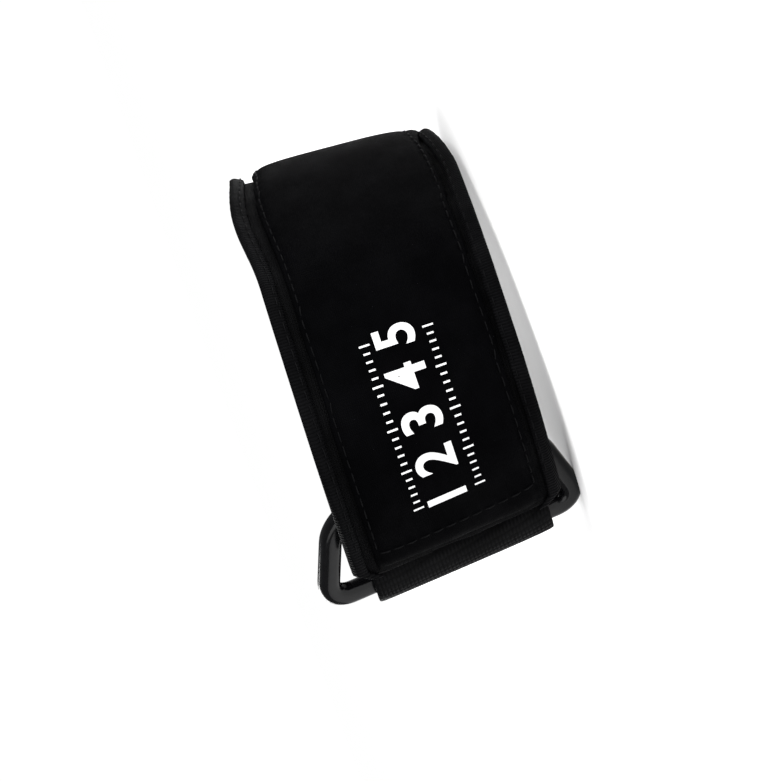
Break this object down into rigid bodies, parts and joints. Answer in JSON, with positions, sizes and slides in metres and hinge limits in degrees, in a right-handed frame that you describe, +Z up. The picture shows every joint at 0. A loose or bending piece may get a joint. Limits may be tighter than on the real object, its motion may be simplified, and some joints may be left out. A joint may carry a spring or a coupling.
{
  "type": "tennis elbow strap",
  "caption": "Padded neoprene forearm strap with a raised front panel, closed by a webbing strap through a plastic ring.",
  "frame": {"origin": "on the table under the middle of the strap's bounding box", "axes": "+Z up from the wrist-side rim to the elbow-side rim, -Y towards the printed front, -X towards the ring"},
  "size_m": [0.1032, 0.1058, 0.0617],
  "materials": {
    "neoprene": "matt black jersey laminated on neoprene foam",
    "panel_knit": "smooth matt black stretch knit over foam",
    "edge_tape": "black folded binding tape with a slight sheen",
    "webbing": "black woven webbing",
    "ring_plastic": "glossy black moulded plastic"
  },
  "bodies": {
    "root": {"backing_band": "neoprene", "front_panel": "panel_knit", "elbow_binding": "edge_tape", "wrist_binding": "edge_tape", "closure_strap": "webbing", "keeper_loop": "webbing", "buckle": "ring_plastic"}
  },
  "joints": []
}
